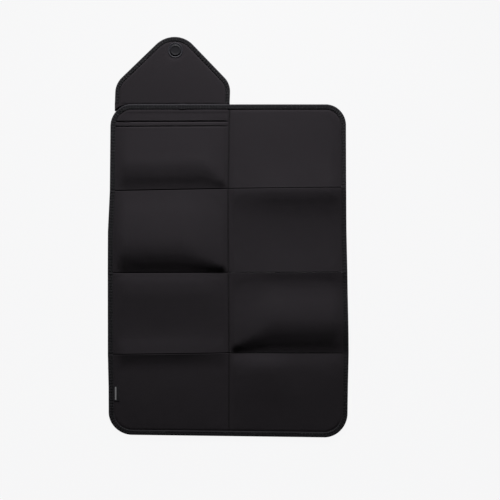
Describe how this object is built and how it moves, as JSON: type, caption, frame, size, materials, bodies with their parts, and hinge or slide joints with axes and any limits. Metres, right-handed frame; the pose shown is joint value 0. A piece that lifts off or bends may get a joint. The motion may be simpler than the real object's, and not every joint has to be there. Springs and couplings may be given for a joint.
{
  "type": "fold-up changing mat",
  "caption": "Padded neoprene changing mat that folds flat in both directions and closes with a pointed snap flap; slit pocket in the first panel.",
  "frame": {"origin": "middle of the open mat's underside, closing flap included", "axes": "+Y along the mat towards the closing flap, +X to the right seen from the face, +Z out of the face"},
  "size_m": [0.457, 0.764, 0.0062],
  "materials": {
    "neoprene": "black knit-faced neoprene, matt",
    "binding_tape": "black knitted edge tape, matt",
    "pocket_lining": "plain black woven lining",
    "padding_foam": "closed-cell foam sheet",
    "stiffener_board": "thin flexible board",
    "snap_plastic": "black lacquer, satin",
    "snap_metal": "plated steel",
    "magnet": "plated magnet",
    "label_tape": "dark woven tape with a plain pale band, blank"
  },
  "bodies": {
    "left_row1": {"left_row1_back": "neoprene", "left_row1_binding": "binding_tape", "pocket_lining": "pocket_lining", "pocket_header": "neoprene", "pocket_front": "neoprene", "pocket_mouth_binding": "binding_tape", "flap_root_seam": "neoprene", "binding_join": "binding_tape"},
    "left_row2": {"left_row2_face": "neoprene", "left_row2_foam": "padding_foam", "left_row2_back": "neoprene", "left_row2_binding": "binding_tape", "socket_ring": "snap_plastic", "socket_plate": "snap_metal", "socket_washer": "snap_metal"},
    "left_row3": {"left_row3_face": "neoprene", "left_row3_foam": "padding_foam", "left_row3_back": "neoprene", "left_row3_binding": "binding_tape"},
    "left_row4": {"left_row4_face": "neoprene", "left_row4_foam": "padding_foam", "left_row4_back": "neoprene", "left_row4_binding": "binding_tape", "side_label": "label_tape"},
    "right_row1": {"right_row1_face": "neoprene", "right_row1_foam": "padding_foam", "right_row1_back": "neoprene", "right_row1_binding": "binding_tape"},
    "right_row2": {"right_row2_face": "neoprene", "right_row2_foam": "padding_foam", "right_row2_back": "neoprene", "right_row2_binding": "binding_tape"},
    "right_row3": {"right_row3_face": "neoprene", "right_row3_foam": "padding_foam", "right_row3_back": "neoprene", "right_row3_binding": "binding_tape"},
    "right_row4": {"right_row4_face": "neoprene", "right_row4_foam": "padding_foam", "right_row4_back": "neoprene", "right_row4_binding": "binding_tape"},
    "flap": {"flap_face": "neoprene", "flap_back": "neoprene", "flap_stiffener": "stiffener_board", "flap_binding": "binding_tape", "snap_flange": "snap_plastic", "snap_housing": "snap_plastic", "snap_magnet": "magnet", "snap_base": "snap_metal", "snap_washer": "snap_metal"}
  },
  "joints": [
    {"name": "quarter_fold", "type": "hinge", "parent": "left_row1", "child": "left_row2", "pos_m": [0, 0.09425, 0.0198], "axis": [-1, 0, 0], "range_deg": [0, 179.9]},
    {"name": "half_fold", "type": "hinge", "parent": "left_row2", "child": "left_row3", "pos_m": [0, -0.0645, 0.0096], "axis": [-1, 0, 0], "range_deg": [0, 179.9]},
    {"name": "quarter_fold_lower", "type": "hinge", "parent": "left_row3", "child": "left_row4", "pos_m": [0, -0.22325, -0.0006], "axis": [1, 0, 0], "range_deg": [0, 179.9]},
    {"name": "centre_fold", "type": "hinge", "parent": "left_row1", "child": "right_row1", "pos_m": [0, 0.17363, 0.0045], "axis": [0, -1, 0], "range_deg": [0, 179.9]},
    {"name": "centre_fold_row2", "type": "hinge", "parent": "left_row2", "child": "right_row2", "pos_m": [0, 0.01487, 0.0045], "axis": [0, -1, 0], "range_deg": [0, 179.9]},
    {"name": "centre_fold_row3", "type": "hinge", "parent": "left_row3", "child": "right_row3", "pos_m": [0, -0.14388, 0.0045], "axis": [0, -1, 0], "range_deg": [0, 179.9]},
    {"name": "centre_fold_row4", "type": "hinge", "parent": "left_row4", "child": "right_row4", "pos_m": [0, -0.30262, 0.0045], "axis": [0, -1, 0], "range_deg": [0, 179.9]},
    {"name": "flap_fold", "type": "hinge", "parent": "left_row1", "child": "flap", "pos_m": [-0.1075, 0.253, 0.0225], "axis": [1, 0, 0], "range_deg": [0, 179.9]}
  ],
  "couplings": [
    {"joint": "quarter_fold_lower", "follows": "quarter_fold", "ratio": 1},
    {"joint": "centre_fold_row2", "follows": "centre_fold", "ratio": 1},
    {"joint": "centre_fold_row3", "follows": "centre_fold", "ratio": 1},
    {"joint": "centre_fold_row4", "follows": "centre_fold", "ratio": 1}
  ]
}
